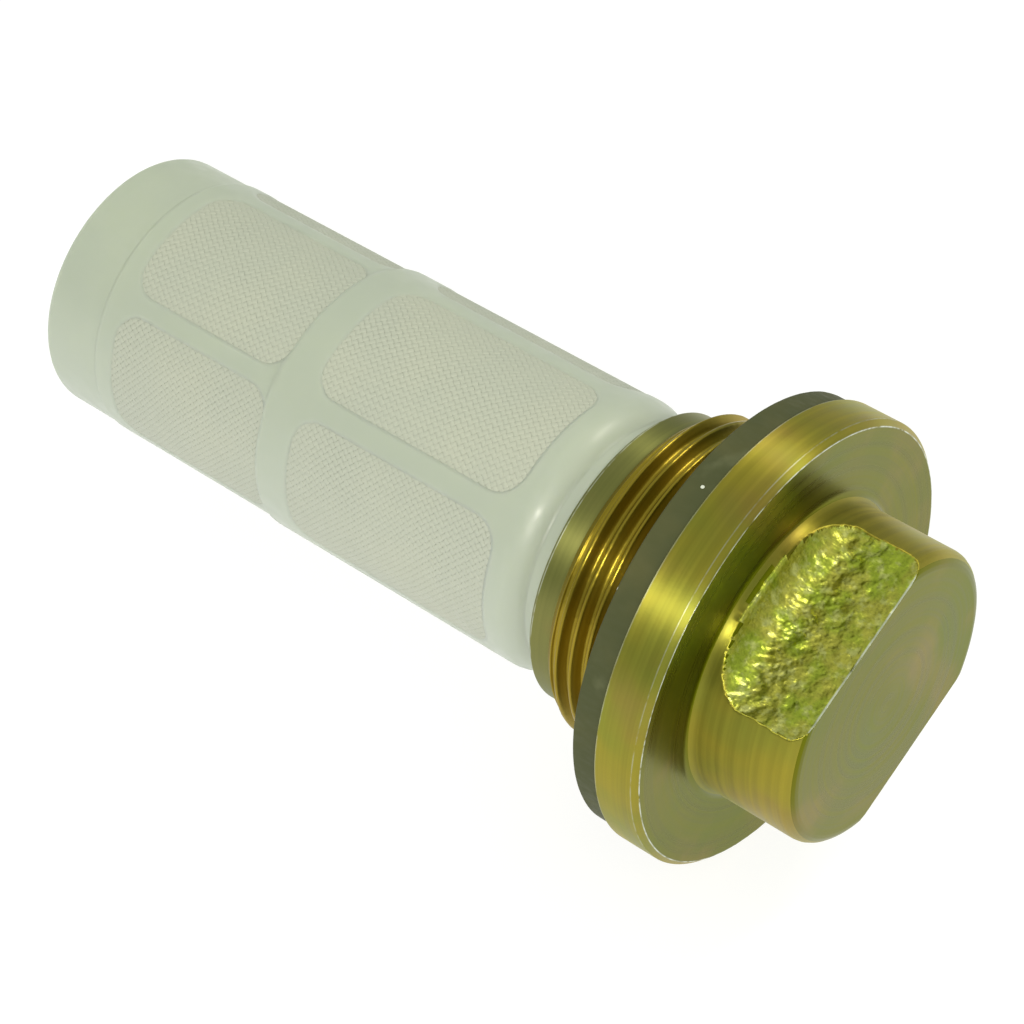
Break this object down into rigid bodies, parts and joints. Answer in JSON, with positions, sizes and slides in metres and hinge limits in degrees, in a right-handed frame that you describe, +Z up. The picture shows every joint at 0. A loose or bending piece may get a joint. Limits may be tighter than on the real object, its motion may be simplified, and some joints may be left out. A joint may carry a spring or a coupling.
{
  "type": "strainer screw plug",
  "caption": "Flanged screw plug with a two-flat round head, a sealing washer and a long tubular strainer: a moulded ribbed frame around a woven gauze sleeve.",
  "frame": {"origin": "on the plug's axis, in the plane of the washer's free face, which seats on the housing", "axes": "+X along the plug's axis from the strainer towards the head, +Z up, +Y across"},
  "size_m": [0.0848, 0.041, 0.041],
  "materials": {
    "plated_steel": "yellow-passivated zinc plating, turned and brushed",
    "washer_fibre": "matte pressed fibre",
    "frame_nylon": "natural translucent moulding, satin",
    "gauze_nylon": "woven monofilament gauze"
  },
  "bodies": {
    "plug": {"plug_body": "plated_steel"},
    "washer": {"sealing_washer": "washer_fibre"},
    "strainer": {"strainer_frame": "frame_nylon", "gauze_sleeve": "gauze_nylon"}
  },
  "joints": [
    {"name": "strainer_pull", "type": "slide", "parent": "plug", "child": "strainer", "axis": [-1, 0, 0], "range_m": [0, 0.011]},
    {"name": "washer_slide", "type": "slide", "parent": "plug", "child": "washer", "axis": [-1, 0, 0], "range_m": [0, 0.0125]}
  ]
}
